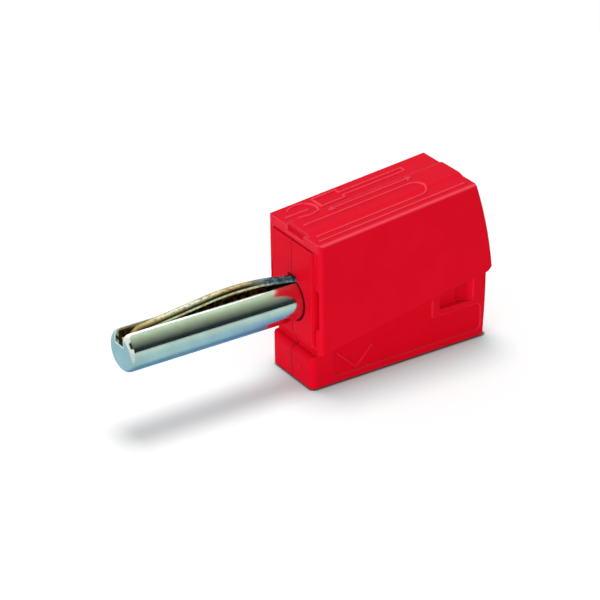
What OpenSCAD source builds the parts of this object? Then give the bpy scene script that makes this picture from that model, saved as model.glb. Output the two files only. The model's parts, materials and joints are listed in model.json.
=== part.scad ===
// Banana plug with a spring clamp: a slotted contact pin with a bow spring, held in a
// two-part housing under a press lever that opens a cage clamp for the wire.
// Millimetres. The pin lies on the X axis and points to -X, the housing's front face
// is at x = 0, the wire enters from +X, and +Z is up. The lever is drawn released.

/* [Contact pin] */
// Diameter of the contact pin
pin_d = 4; // [3.8:0.05:4.2]
// Length of the pin in front of the housing
pin_length = 17.7; // [16:0.1:22]
// Radius around the pin's tip
tip_r = 0.6; // [0.2:0.05:0.8]
// Width of the lengthwise slot in the pin's crown
slot_w = 1.4; // [1.1:0.05:1.7]
// Depth of the slot below the pin's crown
slot_depth = 1.3; // [1.1:0.05:1.5]
// Clearance between the pin and the hole in the housing's front
pin_gap = 0.15; // [0.1:0.01:0.25]
// Distance from the front face to the collar
front_wall = 1.2; // [1:0.05:1.4]
// Distance from the front face to the step under the bow spring's tail
tail_step = 0.7; // [0.5:0.05:0.9]
// Diameter of the collar that holds the pin in the housing
collar_d = 5.2; // [4.8:0.1:5.4]
// Thickness of the collar
collar_t = 1.1; // [0.8:0.1:1.4]
// Diameter of the spigot that is riveted through the current bar
spigot_d = 2.4; // [2:0.1:2.8]
// Diameter of the rivet head
rivet_d = 3.4; // [3:0.1:3.6]
// Thickness of the rivet head
rivet_t = 0.6; // [0.4:0.05:0.8]

/* [Bow spring] */
// Thickness of the strip
bow_t = 0.3; // [0.2:0.02:0.4]
// Clearance between the strip and each wall of the slot
bow_side_gap = 0.08; // [0.05:0.01:0.15]
// Height of the bow's crown above the pin
bow_rise = 0.88; // [0.5:0.02:1]
// Distance from the housing to the bow's crown
bow_crown = 5.9; // [5:0.1:7]
// Radius of the bow's crown
bow_r = 25; // [22:0.5:30]
// Slope of the ramp towards the tip, in degrees
bow_ramp = 7.1; // [6.5:0.1:8]
// Slope of the foot that dips to the slot's floor, in degrees
bow_foot = 30; // [25:1:40]
// Distance from the pin's tip to the end of the foot
bow_setback = 0.6; // [0.4:0.1:1]
// Distance from the front face to the end of the crown's arc
bow_arc_end = 0.3; // [0.1:0.05:0.5]
// Distance that the tail reaches into the housing
bow_tail = 1.9; // [1.6:0.1:2.1]
// Room for the bow above the pin's hole in the housing
bow_room = 0.3; // [0.2:0.05:0.5]

/* [Housing] */
// Width of the housing's two shells together
body_w = 6.7; // [6.5:0.1:7.2]
// Length of the housing at the top of its rear block
body_length = 19.35; // [18.8:0.1:22]
// Height of the housing under the lever
body_h = 13.85; // [13.4:0.05:15]
// Height of the pin's axis above the underside
pin_height = 8.1; // [7.9:0.05:9]
// Height of the base ledge below the pin
base_h = 3.42; // [3.1:0.02:3.7]
// Distance that the base stands in front of the front face
base_proud = 0.15; // [0:0.05:0.5]
// Depth of the bevel above the ledge
bevel_depth = 0.57; // [0.4:0.01:0.8]
// Height of the bevel above the ledge
bevel_h = 1.23; // [1:0.01:1.5]
// Height of the short upright between the ledge and the bevel
ledge_step = 0.15; // [0.05:0.05:0.3]
// Radius of the ledge's front edge
ledge_r = 0.55; // [0.3:0.05:0.65]
// Radius of the housing's upright corners
corner_r = 0.55; // [0.3:0.05:0.7]
// Height of the chamfer around the underside
foot_chamfer = 0.22; // [0.1:0.02:0.4]
// Width of that chamfer
foot_inset = 0.5; // [0.2:0.05:0.7]
// Lean of the rear face, in degrees
rear_lean = 4.2; // [0:0.1:6]
// Height of the rear block above the underside
rear_block_h = 7.5; // [7.3:0.05:8]
// Distance from the rear face to the upper rear wall
rear_step = 2.75; // [2.4:0.05:3]
// Thickness of the side walls around the clamp
side_wall = 1.15; // [1.05:0.05:1.25]
// Thickness of the wall above the clamp
top_wall = 1.15; // [0.8:0.05:1.4]
// Thickness of the upper rear wall
rear_wall = 1.2; // [0.9:0.05:1.5]
// Width of the groove along the seam
seam_w = 0.12; // [0.06:0.02:0.2]
// Depth of the groove along the seam
seam_depth = 0.12; // [0.06:0.02:0.2]
// Depth of the recessed panel on each side
panel_depth = 0.12; // [0.06:0.02:0.2]
// Distance from the bevel's foot to that panel
panel_front = 1.68; // [1.3:0.02:2]
// Height of the rim above and below that panel
panel_rim = 0.85; // [0.5:0.05:1]
// Width of the rim behind that panel
panel_rear_rim = 0.25; // [0.15:0.05:0.5]
// Length of the catch window in each side
window_length = 3.84; // [3.6:0.02:4.2]
// Height of that window
window_h = 3.82; // [3.4:0.02:4]
// Distance from the pin's axis down to that window
window_drop = 0.1; // [0:0.02:0.3]
// Radius of that window's corners
window_r = 0.35; // [0.1:0.05:0.5]
// Length of the ramp at that window's rear end
window_ramp = 1.35; // [1:0.05:1.5]
// Depth of that window at the end of the ramp
window_rim = 0.12; // [0.05:0.01:0.2]
// Distance from the rear face to that window
window_setback = 1.65; // [1.5:0.05:1.9]
// Width of the frame in front of that window
window_frame = 0.76; // [0.5:0.02:1]
// Height of the frame below that window
window_sill = 0.58; // [0.4:0.02:0.8]
// Diameter of the pegs that line up the two shells
dowel_d = 1.2; // [0.8:0.1:1.3]
// Length of those pegs
dowel_length = 1.6; // [1:0.1:2]

/* [Wire and test entries] */
// Diameter of the wire entry
wire_d = 4; // [3.4:0.1:4.2]
// Thickness of the wall under the wire entry
wire_wall = 1; // [0.8:0.05:1.2]
// Straight length of the wire entry
wire_length = 2.2; // [1.5:0.1:2.5]
// Diameter of the throat behind the wire entry
throat_d = 2.6; // [2:0.1:3]
// Length of that throat
throat_length = 0.5; // [0.3:0.05:0.7]
// Length of the funnel between the wire entry and the throat
funnel_length = 0.6; // [0.4:0.05:0.8]
// Distance by which the mouth of the wire entry widens
mouth_spread = 0.6; // [0.3:0.05:0.8]
// Diameter of the test entry in the underside
test_d = 2.3; // [2:0.05:2.5]
// Distance from the front face to the test entry
test_x = 4.7; // [4.3:0.1:5.5]
// Chamfer around the test entry's mouth
test_chamfer = 0.3; // [0.1:0.05:0.4]
// Wall between the test entry and the wire's room
test_wall = 2.7; // [2:0.1:3]

/* [Press lever] */
// Width across the lever
lever_w = 8.5; // [8.3:0.1:9.2]
// Clearance between the lever and each side of the housing
lever_gap = 0.1; // [0.06:0.01:0.2]
// Angle between the released and the pressed lever, in degrees
press_angle = 5.5; // [4:0.1:6]
// Thickness of the lever's top
lever_top_t = 0.9; // [0.7:0.05:1.1]
// Gap between the housing and the lever's front lip
lip_gap = 0.13; // [0.1:0.01:0.3]
// Distance from the housing's front face to the lever's lip
lip_setback = 0.22; // [0.1:0.02:0.5]
// Distance that the lever's top reaches behind the housing's upper rear wall
lever_overhang = 0.52; // [0.4:0.02:0.9]
// Radius along the long edges of the lever's top
lever_edge_r = 0.35; // [0.2:0.05:0.6]
// Radius of the lever's rear, seen from the side
lever_rear_r = 41; // [30:1:80]
// Thickness of the lever's rear wall
lever_rear_t = 0.9; // [0.6:0.05:1]
// Height of the rear tips of the lever's sides, below the pin's axis
tip_drop = 0.47; // [0:0.05:0.6]
// Distance from the lever's top rear edge back to those tips
tip_reach = 1.95; // [1.5:0.05:2.3]
// Length of the cut corner below those tips
tip_cut = 0.4; // [0.2:0.05:0.6]
// Height of that corner
tip_rise = 0.41; // [0.2:0.01:0.6]
// Height of the front foot of the lever's sides, below the pin's axis
foot_drop = 4.23; // [4.1:0.01:4.4]
// Distance from the front face to that foot
foot_x = 0.6; // [0.5:0.05:0.8]
// Radius of the corner in front of that foot
heel_r = 0.38; // [0.2:0.02:0.5]
// Height of the opening under the rear wall, above the pin's axis
rear_opening = 1.4; // [1.2:0.05:2]
// Height of the raised panel on the lever's top
plateau_h = 0.25; // [0.1:0.05:0.4]
// Width of that panel's flat top
plateau_w = 2.63; // [2:0.01:4]
// Width of the slope on that panel's left
plateau_left = 0.62; // [0.3:0.02:0.8]
// Width of the slope on that panel's right
plateau_right = 0.5; // [0.3:0.02:0.8]
// Distance from the lever's lip to that panel
plateau_setback = 0.25; // [0.2:0.05:0.6]
// Distance of that panel from the mid-plane, to the right
plateau_shift = 0.44; // [0:0.02:0.6]
// Width of the pocket in the lever's lip
pocket_w = 2.9; // [2:0.1:3.5]
// Height of that pocket
pocket_h = 0.6; // [0.3:0.05:0.7]
// Depth of that pocket
pocket_depth = 0.2; // [0.1:0.05:0.25]
// Distance of that pocket from the mid-plane, to the right
pocket_shift = 0.28; // [0:0.02:0.5]
// Height of the notch in the front edge of each side
notch_h = 3.9; // [2:0.1:5]
// Width of that notch
notch_w = 0.5; // [0.3:0.05:0.6]
// Depth of that notch
notch_depth = 0.4; // [0.2:0.05:0.6]
// Height of that notch's foot below the pin's axis
notch_drop = 1.7; // [1.5:0.05:2]
// Diameter of the pivot pegs
pivot_d = 1.8; // [1.4:0.05:2]
// Running clearance around the pivot pegs
pivot_gap = 0.05; // [0.02:0.01:0.1]
// Length of the pivot pegs
pivot_length = 0.95; // [0.6:0.05:1]
// Distance from the front face to the pivot
pivot_x = 2.3; // [2.1:0.05:2.6]
// Height of the pivot below the pin's axis
pivot_drop = 2.5; // [2.4:0.05:2.7]
// Depth of the catch inside each side of the lever
catch_depth = 0.5; // [0.3:0.05:0.6]
// Height of the catch
catch_h = 0.9; // [0.7:0.05:1.1]
// Gap between the catch and the top of its window when the lever is released
catch_rest = 0.15; // [0.1:0.01:0.2]
// Gap between the catch and the front of its window
catch_front_gap = 0.54; // [0.3:0.02:0.8]
// Gap between the catch and the housing's upper rear wall
catch_rear_gap = 0.4; // [0.2:0.05:0.6]
// Gap between the catch and the floor of its window
catch_floor_gap = 0.25; // [0.15:0.05:0.4]
// Distance from the middle of the clamp's loop to the rib that presses the clamp
rib_offset = 0.9; // [0.6:0.05:1.2]
// Thickness of that rib
rib_t = 1.4; // [1:0.05:1.6]
// Distance by which that rib is narrower than the clamp, on each side
rib_inset = 0.35; // [0.2:0.05:0.6]
// Gap between that rib and the clamp when the lever is released
rib_gap = 0.08; // [0.05:0.01:0.15]
// Room in front of and beside that rib where it passes through the housing's top
rib_room = 0.28; // [0.2:0.02:0.4]
// Room behind that rib for its swing
rib_swing = 1.1; // [0.9:0.05:1.3]

/* [Current bar] */
// Width of the bar
bar_w = 3; // [2.6:0.1:3.4]
// Thickness of the bar
bar_t = 0.8; // [0.6:0.05:1]
// Width of the bar where it passes through the clamp
bar_tip_w = 2.4; // [2:0.1:2.5]
// Height of the bar's underside below the pin's axis
bar_drop = 3.4; // [3.3:0.05:3.6]
// Height of the bar above the rivet head
bar_rim = 0.2; // [0.1:0.05:0.4]
// Distance that the bar's tip reaches into the housing's rear wall
bar_tip_reach = 0.5; // [0.3:0.05:0.7]
// Gap behind the bar's tip, in that wall
bar_tip_gap = 0.1; // [0.05:0.01:0.2]
// Room beside the rivet head
rivet_side_room = 0.3; // [0.2:0.05:0.4]
// Room between the rivet head and the clamp's room
rivet_room = 1.42; // [1.2:0.02:1.6]

/* [Clamp spring] */
// Width of the clamp's strip
clamp_w = 3.9; // [3.6:0.1:4]
// Thickness of the strip
clamp_t = 0.4; // [0.3:0.05:0.5]
// Radius of the clamp's front loop
loop_r = 2.68; // [2.4:0.02:2.7]
// Slope of the upper arm, in degrees
arm_slope = 8; // [5:0.5:10]
// Radius of the bend above the leg
bend_r = 0.9; // [0.7:0.05:1.1]
// Width of each side of the window in the leg
leg_rail = 0.55; // [0.4:0.05:0.6]
// Height of the crossbar below the leg's window
crossbar_h = 0.7; // [0.5:0.05:0.9]
// Gap between the crossbar and the current bar
crossbar_gap = 0.05; // [0.02:0.01:0.1]
// Height of the leg's window above the lower arm
leg_window_rise = 0.6; // [0.4:0.05:0.8]
// Gap in front of the clamp's loop
loop_gap = 0.3; // [0.2:0.05:0.4]
// Distance from the leg to the rear wall of the clamp's room
leg_room = 1.4; // [1.2:0.05:1.6]
// Gap between the leg and the ends of the lower arm and of the bar's wide part
arm_gap = 0.4; // [0.2:0.05:0.6]

/* [Hidden] */
$fn = 96;

plastic_red = [0.80, 0.05, 0.12];
plated_metal = [0.78, 0.79, 0.80];
spring_gold = [0.78, 0.64, 0.32];
spring_steel = [0.70, 0.70, 0.68];

// clearance of a piece that is held still in its seat
seat_gap = 0.03;
// how far a cutting solid runs past the face that it opens
over = 1;

// contact pin
pin_r = pin_d / 2;
slot_floor = pin_r - slot_depth;
collar_x = front_wall;
bar_x = collar_x + collar_t + seat_gap;
rivet_x = bar_x + bar_t + seat_gap;

// bow spring
bow_w = slot_w - 2 * bow_side_gap;
bow_z = pin_r + bow_rise - bow_r;
bow_fall = asin((bow_crown + bow_arc_end) / bow_r);
ramp_x = -bow_crown - bow_r * sin(bow_ramp);
ramp_z = bow_z + bow_r * cos(bow_ramp);
foot_end_x = bow_setback - pin_length;
foot_end_z = slot_floor + seat_gap + bow_t / cos(bow_foot);
bow_exit_z = bow_z + bow_r * cos(bow_fall);
tail_z = bow_exit_z - (bow_tail - bow_arc_end) * tan(bow_fall);
tail_floor = tail_z - bow_t / cos(bow_fall) - seat_gap;
bow_centre = [-bow_crown, bow_z];
// angle by which the straight stretches of a strip reach into its bends
lap = 2;

// housing heights and lengths
body_half = body_w / 2;
z_floor = -pin_height;
z_top = z_floor + body_h;
z_ledge = z_floor + base_h;
z_lip = z_ledge + ledge_step;
z_rear = z_floor + rear_block_h;
rear_foot_x = body_length - rear_block_h * tan(rear_lean);
upper_rear_x = body_length - rear_step;
room_half = body_half - side_wall;
room_end = upper_rear_x - rear_wall;
room_top = z_top - top_wall;
room_start = rivet_x + rivet_t + rivet_room;
z_bar = -bar_drop;
bar_room_half = rivet_d / 2 + rivet_side_room;

// wire and test entries
wire_r = wire_d / 2;
z_wire = z_floor + wire_wall + wire_r;
throat_end = room_end + throat_length;
wire_start = throat_end + funnel_length;
wire_end = wire_start + wire_length;
test_r = test_d / 2;
wire_room_start = test_x + test_r + test_wall;

// lever
lever_half = lever_w / 2;
lever_inner = body_half + lever_gap;
lever_top_z = z_top + lip_gap + lever_top_t;
slope = tan(press_angle);
lever_length = upper_rear_x + lever_overhang - lip_setback;
lever_rear_x = lip_setback + lever_length;
lever_rear_z = lever_top_z + lever_length * slope;
tip_x = lever_rear_x + tip_reach;
tip_z = -tip_drop;
hem_slope = (foot_drop - tip_drop - tip_rise) / (tip_x - tip_cut - foot_x);
pivot_r = pivot_d / 2;
pivot_z = -pivot_drop;

// window in each side of the housing, and the lever's catch inside it
window_x = body_length - window_setback - window_length;
window_top = -window_drop;
window_floor = window_top - window_h;
window_depth = catch_depth + catch_floor_gap;
catch_x = window_x + catch_front_gap;
catch_length = upper_rear_x - catch_x - catch_rear_gap;
catch_top = window_top - catch_rest;

// clamp spring
z_arm = z_bar + bar_t + seat_gap;
loop_x = room_start + loop_r + loop_gap;
loop_z = z_arm + loop_r;
leg_x = room_end - leg_room;
arm_end_x = leg_x - clamp_t - arm_gap;
bend_x = leg_x - bend_r;
arm_top_z = loop_z + loop_r / cos(arm_slope) + (bend_x - loop_x) * tan(arm_slope);
bend_z = arm_top_z - bend_r / cos(arm_slope);
loop_centre = [loop_x, loop_z];
bend_centre = [bend_x, bend_z];
leg_floor = z_bar - crossbar_h - crossbar_gap;
leg_window_top = z_arm + clamp_t + leg_window_rise;

// rib under the lever's top that presses the clamp
rib_x = loop_x + rib_offset;
rib_half = clamp_w / 2 - rib_inset;
rib_foot = loop_z + loop_r / cos(arm_slope) + (rib_offset + rib_t) * tan(arm_slope) + rib_gap;

// where the pegs join the two shells
dowels = [
    [(bar_x + room_start) / 2, (collar_d / 2 + z_top) / 2],
    [(test_x - test_r - base_proud) / 2, z_floor + base_h / 2],
    [(wire_start + wire_end) / 2, (z_wire + wire_r + z_rear) / 2]
];

// centre of a circle of radius r through p and q, on the left of the way from p to q
function arc_centre(p, q, r) =
    let (d = q - p, half = norm(d) / 2, reach = sqrt(r * r - half * half))
    (p + q) / 2 + reach * [-d[1], d[0]] / norm(d);

// a point in the middle of a strip that is bent round a centre, at an angle from +Z towards +X
function mid_strip(centre, r, t, angle) = centre + (r - t / 2) * [sin(angle), cos(angle)];

lever_centre = arc_centre([tip_x, tip_z], [lever_rear_x, lever_rear_z], lever_rear_r);

// a flat x-z shape, made into a solid of this width across the mid-plane
module across(width) {
    translate([0, width / 2, 0])
        rotate([90, 0, 0])
            linear_extrude(width)
                children();
}

// a cylinder along +X from x
module along_x(x, length, r1, r2) {
    translate([x, 0, 0])
        rotate([0, 90, 0])
            cylinder(h = length, r1 = r1, r2 = r2);
}

// a box from its two corners
module box(low, high) {
    translate(low)
        cube(high - low);
}

// the corner that a rounding of radius r takes away, at the top left of a shape
module corner_cut(r) {
    difference() {
        translate([-over, -r])
            square([r + over, r + over]);
        translate([r, -r])
            circle(r);
    }
}

// a rectangle between two corners with round corners
module round_rect(low, high, r) {
    translate(low + [r, 0])
        square(high - low - [2 * r, 0]);
    translate(low + [0, r])
        square(high - low - [0, 2 * r]);
    for (x = [low[0] + r, high[0] - r], y = [low[1] + r, high[1] - r])
        translate([x, y])
            circle(r);
}

// outline of the housing from the side, drawn in by an inset
module body_outline(inset) {
    front = inset;
    base = inset - base_proud;
    difference() {
        polygon([
            [front, z_top - inset],
            [front, z_lip + bevel_h],
            [bevel_depth + inset, z_lip],
            [bevel_depth + inset, z_ledge - inset],
            [base, z_ledge - inset],
            [base, z_floor + foot_chamfer],
            [base + foot_inset, z_floor + inset],
            [rear_foot_x - foot_inset - inset, z_floor + inset],
            [rear_foot_x - inset, z_floor + foot_chamfer],
            [body_length - inset, z_rear - inset],
            [upper_rear_x - inset, z_rear - inset],
            [upper_rear_x - inset, z_top - inset]
        ]);
        translate([base, z_ledge - inset])
            corner_cut(ledge_r);
    }
}

// the housing's outer form, with round upright corners and a chamfered underside
module body_block() {
    intersection() {
        across(body_w)
            body_outline(0);
        translate([0, 0, z_floor])
            linear_extrude(body_h)
                round_rect([-base_proud, -body_half], [body_length, body_half], corner_r);
        rotate([90, 0, 90])
            translate([0, 0, -base_proud])
                linear_extrude(body_length + base_proud)
                    polygon([
                        [-body_half, z_top],
                        [-body_half, z_floor + foot_chamfer],
                        [foot_inset - body_half, z_floor],
                        [body_half - foot_inset, z_floor],
                        [body_half, z_floor + foot_chamfer],
                        [body_half, z_top]
                    ]);
    }
}

// shallow groove where the two shells meet
module seam() {
    across(seam_w)
        difference() {
            body_outline(0);
            body_outline(seam_depth);
        }
}

// seats of the pin, its collar and the bow spring's tail
module pin_seat() {
    along_x(-over, collar_x + over, pin_r + pin_gap, pin_r + pin_gap);
    along_x(collar_x - seat_gap, collar_t + 2 * seat_gap, collar_d / 2 + seat_gap, collar_d / 2 + seat_gap);
    box([-over, -slot_w / 2, 0], [collar_x, slot_w / 2, pin_r + bow_room + pin_gap]);
}

// rooms for the current bar, the clamp and the wire's end
module clamp_room() {
    box([collar_x + collar_t, -bar_room_half, z_bar - seat_gap],
        [room_start + over, bar_room_half, collar_d / 2]);
    box([room_start, -room_half, z_bar - seat_gap], [room_end, room_half, room_top]);
    box([wire_room_start, -wire_r, z_floor + wire_wall], [room_end, wire_r, z_bar]);
    box([room_end - over, -bar_tip_w / 2 - seat_gap, z_bar - seat_gap],
        [room_end + bar_tip_reach + bar_tip_gap, bar_tip_w / 2 + seat_gap, z_bar + bar_t + seat_gap]);
    // the way in for the lever's rib, longer to the rear because the rib swings back
    box([rib_x - rib_room, -rib_half - rib_room, room_top - over],
        [rib_x + rib_t + rib_swing, rib_half + rib_room, z_top + over]);
}

// round funnel for the wire
module wire_entry() {
    translate([0, 0, z_wire]) {
        along_x(room_end - over, throat_end - room_end + over, throat_d / 2, throat_d / 2);
        along_x(throat_end, wire_start - throat_end, throat_d / 2, wire_r);
        along_x(wire_start, wire_length, wire_r, wire_r);
        along_x(wire_end, over, wire_r, wire_r + mouth_spread);
    }
}

// round hole up to the current bar for a test probe
module test_entry() {
    translate([test_x, 0, z_floor]) {
        cylinder(h = z_bar - z_floor, r = test_r);
        translate([0, 0, -over])
            cylinder(h = over + test_chamfer, r1 = test_r + over + test_chamfer, r2 = test_r);
    }
}

// window for the lever's catch, whose floor comes up to the surface at the rear
module catch_window() {
    window_end = window_x + window_length;
    intersection() {
        translate([0, -body_half, window_floor])
            linear_extrude(window_h)
                polygon([
                    [window_x, -over],
                    [window_end, -over],
                    [window_end, window_rim],
                    [window_end - window_ramp, window_depth],
                    [window_x, window_depth]
                ]);
        across(body_w + 2 * over)
            round_rect([window_x, window_floor], [window_end, window_top], window_r);
    }
}

// what is cut into one side of the housing: panel, window and pivot bore
module side_cuts() {
    panel_corner = [bevel_depth + panel_front, z_floor + panel_rim];
    panel_rear = rear_foot_x - panel_rear_rim;
    translate([0, -body_half + panel_depth, 0])
        rotate([90, 0, 0])
            linear_extrude(over) {
                round_rect(panel_corner, [panel_rear, window_floor - window_sill], corner_r);
                round_rect(panel_corner, [window_x - window_frame, z_rear - panel_rim], corner_r);
            }
    catch_window();
    translate([pivot_x, -body_half + pivot_length, pivot_z])
        rotate([90, 0, 0])
            cylinder(h = pivot_length + over, r = pivot_r + pivot_gap);
}

// the whole housing before it is parted
module housing() {
    difference() {
        body_block();
        seam();
        pin_seat();
        clamp_room();
        wire_entry();
        test_entry();
        side_cuts();
        mirror([0, 1, 0])
            side_cuts();
    }
}

// everything on one side of the mid-plane
module half_space(side) {
    reach = body_length + pin_length;
    translate([-reach, side > 0 ? 0 : -reach, -reach])
        cube([2 * reach, reach, 2 * reach]);
}

// pegs across the mid-plane, grown by a clearance
module dowel_pegs(clearance) {
    for (p = dowels)
        translate([p[0], clearance, p[1]])
            rotate([90, 0, 0])
                cylinder(h = dowel_length + 2 * clearance, r = dowel_d / 2 + clearance);
}

module right_half_shell() {
    color(plastic_red)
        difference() {
            intersection() {
                housing();
                half_space(-1);
            }
            dowel_pegs(seat_gap);
        }
}

module left_half_shell() {
    color(plastic_red)
        union() {
            intersection() {
                housing();
                half_space(1);
            }
            dowel_pegs(0);
        }
}

// outline of the lever's sides, up to the straight line of its top
module lever_outline() {
    intersection() {
        polygon([
            [lip_setback, lever_top_z],
            [tip_x + over, lever_top_z + (tip_x + over - lip_setback) * slope],
            [tip_x + over, tip_z],
            [tip_x, tip_z],
            [tip_x - tip_cut, hem_z(tip_x - tip_cut)],
            [lip_setback, hem_z(lip_setback)]
        ]);
        translate(lever_centre)
            circle(lever_rear_r, $fn = 360);
    }
}

// the corner in front of the foot of the lever's sides
module heel_cut() {
    translate([lip_setback, hem_z(lip_setback)])
        mirror([0, 1])
            corner_cut(heel_r);
}

// height of the lower edge of the lever's sides
function hem_z(x) = -foot_drop + (x - foot_x) * hem_slope;

// height of a plane that lies this far below the lever's top
function under_top(x, depth) = lever_top_z - depth / cos(press_angle) + (x - lip_setback) * slope;

// the hollow that straddles the housing, open at the front, below and under the rear wall
module lever_hollow() {
    across(2 * lever_inner) {
        intersection() {
            polygon([
                [lip_setback - over, under_top(lip_setback - over, lever_top_t)],
                [tip_x, under_top(tip_x, lever_top_t)],
                [tip_x, rear_opening],
                [tip_x, -pin_height],
                [lip_setback - over, -pin_height]
            ]);
            translate(lever_centre)
                circle(lever_rear_r - lever_rear_t, $fn = 360);
        }
        translate([room_end, -pin_height])
            square([body_length, rear_opening + pin_height]);
    }
}

// rounding along one long edge of the lever's top
module top_edge() {
    translate([lip_setback, -lever_half, lever_top_z])
        rotate([0, -press_angle, 0])
            translate([-over, 0, 0])
                rotate([90, 0, 90])
                    linear_extrude(lever_length + tip_reach + 2 * over)
                        corner_cut(lever_edge_r);
}

// catch inside one side of the lever, with a ramp for snapping it on
module catch() {
    translate([catch_x, -lever_inner, catch_top])
        rotate([90, 0, 90])
            linear_extrude(catch_length)
                polygon([
                    [-lever_gap, 0],
                    [catch_depth, 0],
                    [catch_depth, -catch_h / 3],
                    [0, -catch_h],
                    [-lever_gap, -catch_h]
                ]);
}

// pocket in the middle of the lever's lip
module lip_pocket() {
    box([lip_setback - over, -pocket_shift - pocket_w / 2, lever_top_z - pocket_h],
        [lip_setback + pocket_depth, pocket_w / 2 - pocket_shift, lever_top_z + over]);
}

// notch along the front edge of one side, next to the housing
module side_notch() {
    box([lip_setback - over, -lever_inner - notch_w, -notch_drop],
        [lip_setback + notch_depth, -body_half, notch_h - notch_drop]);
}

// raised panel along the top, with sloped sides
module plateau() {
    intersection() {
        translate([lip_setback, -plateau_shift, lever_top_z])
            rotate([0, -press_angle, 0])
                translate([plateau_setback, 0, 0])
                    rotate([90, 0, 90])
                        linear_extrude(lever_length + tip_reach)
                            polygon([
                                [-plateau_w / 2 - plateau_right, -lever_top_t / 2],
                                [plateau_w / 2 + plateau_left, -lever_top_t / 2],
                                [plateau_w / 2 + plateau_left, 0],
                                [plateau_w / 2, plateau_h],
                                [-plateau_w / 2, plateau_h],
                                [-plateau_w / 2 - plateau_right, 0]
                            ]);
        across(lever_w)
            translate(lever_centre)
                circle(lever_rear_r, $fn = 360);
    }
}

module pivot_peg() {
    translate([pivot_x, -lever_inner + pivot_length, pivot_z])
        rotate([90, 0, 0])
            cylinder(h = pivot_length + lever_gap, r = pivot_r);
}

module press_lever() {
    color(plastic_red)
        union() {
            difference() {
                intersection() {
                    across(lever_w)
                        difference() {
                            lever_outline();
                            heel_cut();
                        }
                    translate([0, 0, -pin_height])
                        linear_extrude(2 * body_h)
                            round_rect([lip_setback, -lever_half],
                                [tip_x + 2 * over, lever_half], corner_r);
                }
                lever_hollow();
                lip_pocket();
                for (side = [0, 1])
                    mirror([0, side, 0]) {
                        top_edge();
                        side_notch();
                    }
            }
            plateau();
            box([rib_x, -rib_half, rib_foot],
                [rib_x + rib_t, rib_half, under_top(rib_x, lever_top_t / 2)]);
            for (side = [0, 1])
                mirror([0, side, 0]) {
                    pivot_peg();
                    catch();
                }
        }
}

module contact_pin() {
    head = rivet_d / 2;
    color(plated_metal)
        difference() {
            rotate([0, 90, 0])
                rotate_extrude()
                    difference() {
                        polygon([
                            [0, -pin_length],
                            [pin_r, -pin_length],
                            [pin_r, collar_x],
                            [collar_d / 2, collar_x],
                            [collar_d / 2, collar_x + collar_t],
                            [spigot_d / 2, collar_x + collar_t],
                            [spigot_d / 2, rivet_x],
                            [head, rivet_x],
                            [head, rivet_x + rivet_t / 2],
                            [head - rivet_t / 2, rivet_x + rivet_t],
                            [0, rivet_x + rivet_t]
                        ]);
                        translate([pin_r, -pin_length])
                            rotate(180)
                                corner_cut(tip_r);
                    }
            box([-pin_length - over, -slot_w / 2, slot_floor], [tail_step, slot_w / 2, collar_d]);
            box([tail_step - over, -slot_w / 2, tail_floor], [bar_x, slot_w / 2, collar_d]);
        }
}

// the crown's arc, between the ramp and the tail
module bow_arc() {
    reach = bow_r + over;
    intersection() {
        translate(bow_centre)
            difference() {
                circle(bow_r, $fn = 360);
                circle(bow_r - bow_t, $fn = 360);
            }
        translate(bow_centre)
            polygon([
                [0, 0],
                reach * [-sin(bow_ramp), cos(bow_ramp)],
                [0, reach + over],
                reach * [sin(bow_fall), cos(bow_fall)]
            ]);
    }
}

// the straight ramp, and the foot that dips to the slot's floor
module bow_front() {
    knee_x = (foot_end_z - ramp_z + ramp_x * tan(bow_ramp) - foot_end_x * tan(bow_foot))
        / (tan(bow_ramp) - tan(bow_foot));
    knee_z = ramp_z + (knee_x - ramp_x) * tan(bow_ramp);
    turn = (bow_ramp + bow_foot) / 2;
    mitre = bow_t / cos((bow_foot - bow_ramp) / 2);
    polygon([
        [ramp_x, ramp_z],
        [knee_x, knee_z],
        [foot_end_x, foot_end_z],
        [foot_end_x, foot_end_z - bow_t / cos(bow_foot)],
        [knee_x + mitre * sin(turn), knee_z - mitre * cos(turn)],
        [ramp_x + bow_t * sin(bow_ramp), ramp_z - bow_t * cos(bow_ramp)],
        mid_strip(bow_centre, bow_r, bow_t, lap - bow_ramp)
    ]);
}

// the straight tail that lies on the step in the pin's collar
module bow_rear() {
    polygon([
        [bow_arc_end, bow_exit_z],
        mid_strip(bow_centre, bow_r, bow_t, bow_fall - lap),
        [bow_arc_end - bow_t * sin(bow_fall), bow_exit_z - bow_t * cos(bow_fall)],
        [bow_tail, tail_z - bow_t / cos(bow_fall)],
        [bow_tail, tail_z]
    ]);
}

module bow_spring() {
    color(spring_gold)
        across(bow_w)
            union() {
                bow_arc();
                bow_front();
                bow_rear();
            }
}

module current_bar() {
    color(plated_metal)
        difference() {
            union() {
                across(bar_w)
                    difference() {
                        union() {
                            translate([bar_x, z_bar])
                                square([arm_end_x - bar_x, bar_t]);
                            translate([bar_x, z_bar])
                                square([bar_t, rivet_d / 2 + bar_rim - z_bar]);
                        }
                        translate([bar_x, z_bar])
                            mirror([0, 1])
                                corner_cut(bar_t);
                    }
                box([leg_x - clamp_t - over, -bar_tip_w / 2, z_bar],
                    [room_end + bar_tip_reach, bar_tip_w / 2, z_bar + bar_t]);
            }
            along_x(bar_x - over, bar_t + 2 * over, spigot_d / 2 + seat_gap, spigot_d / 2 + seat_gap);
        }
}

// the clamp's front loop, open to the rear between its two arms
module clamp_loop() {
    reach = loop_r + over;
    translate(loop_centre)
        difference() {
            circle(loop_r);
            circle(loop_r - clamp_t);
            polygon([
                [0, -reach],
                [0, 0],
                reach * [-sin(arm_slope), cos(arm_slope)],
                [reach, reach],
                [reach, -reach]
            ]);
        }
}

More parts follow.
